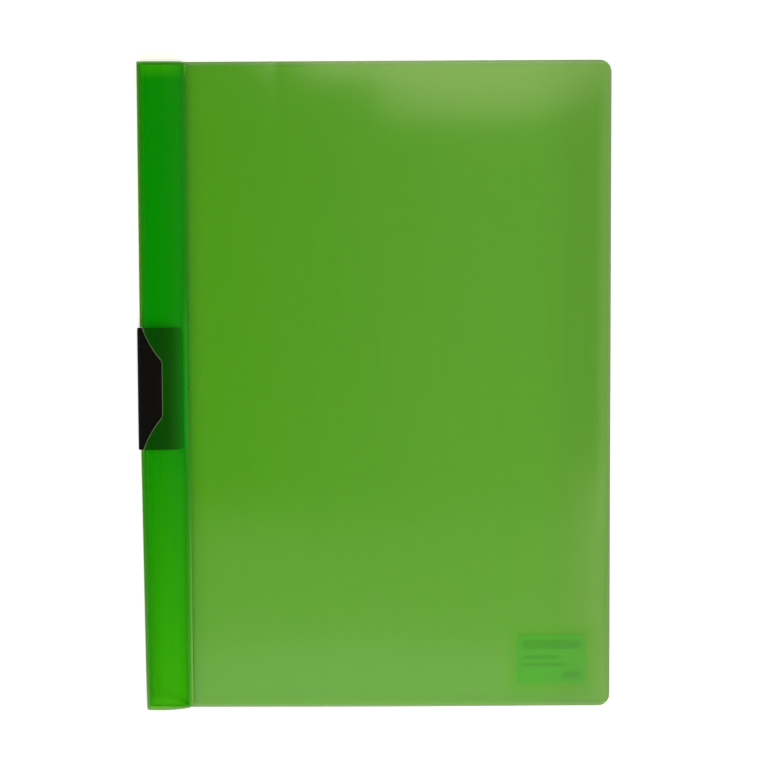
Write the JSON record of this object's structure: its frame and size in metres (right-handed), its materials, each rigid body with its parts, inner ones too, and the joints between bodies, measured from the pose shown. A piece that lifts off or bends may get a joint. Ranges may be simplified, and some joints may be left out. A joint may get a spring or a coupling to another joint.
{
  "type": "clip folder",
  "caption": "Flat A4 clip folder with a green film back and spine, a clear hinged film front and a steel spine clip that slides out to take unpunched sheets.",
  "frame": {"origin": "middle of the closed folder's footprint, on the surface that it lies on", "axes": "+X from the spine to the fore-edge, +Y up the page to the head, +Z out of the front cover"},
  "size_m": [0.2264, 0.3104, 0.0081],
  "materials": {
    "green_film": "translucent satin film",
    "clear_film": "clear film, faintly hazy",
    "black_steel": "satin black coating",
    "label_paper": "matt coated paper"
  },
  "bodies": {
    "folder": {"back_cover": "green_film", "inner_sleeve": "green_film", "front_cover_margin": "clear_film", "label": "label_paper"},
    "clip": {"spring_clip": "black_steel"},
    "front": {"front_cover": "clear_film"}
  },
  "joints": [
    {"name": "clip_slide", "type": "slide", "parent": "folder", "child": "clip", "axis": [-1, 0, 0], "range_m": [0, 0.012]},
    {"name": "front_cover_hinge", "type": "hinge", "parent": "folder", "child": "front", "pos_m": [-0.08835, 0, 0.003], "axis": [0, -1, 0], "range_deg": [0, 150]}
  ]
}
